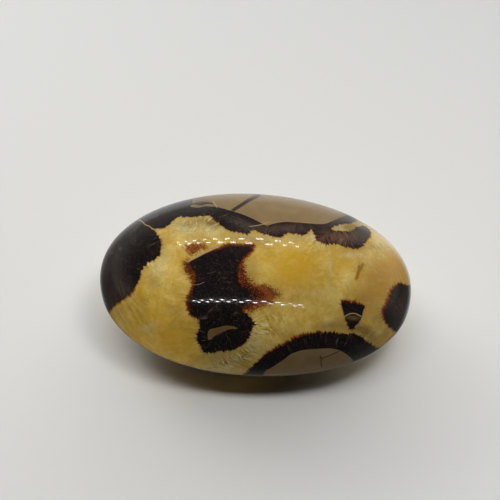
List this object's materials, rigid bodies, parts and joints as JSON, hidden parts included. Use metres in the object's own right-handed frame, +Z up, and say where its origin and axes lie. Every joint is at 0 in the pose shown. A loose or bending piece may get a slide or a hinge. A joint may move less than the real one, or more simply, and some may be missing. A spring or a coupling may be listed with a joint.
{
  "type": "septarian nodule",
  "caption": "Polished septarian pebble, a smooth oval stone of golden calcite, brown aragonite and grey limestone that rests on a small flat spot.",
  "frame": {"origin": "on the surface the stone rests on, under the middle of its bounding box", "axes": "+X along the stone's length, +Y across its width, +Z up through the crown"},
  "size_m": [0.0778, 0.049, 0.0323],
  "materials": {
    "polished_septarian": "polished"
  },
  "bodies": {
    "root": {"septarian_nodule": "polished_septarian"}
  },
  "joints": []
}
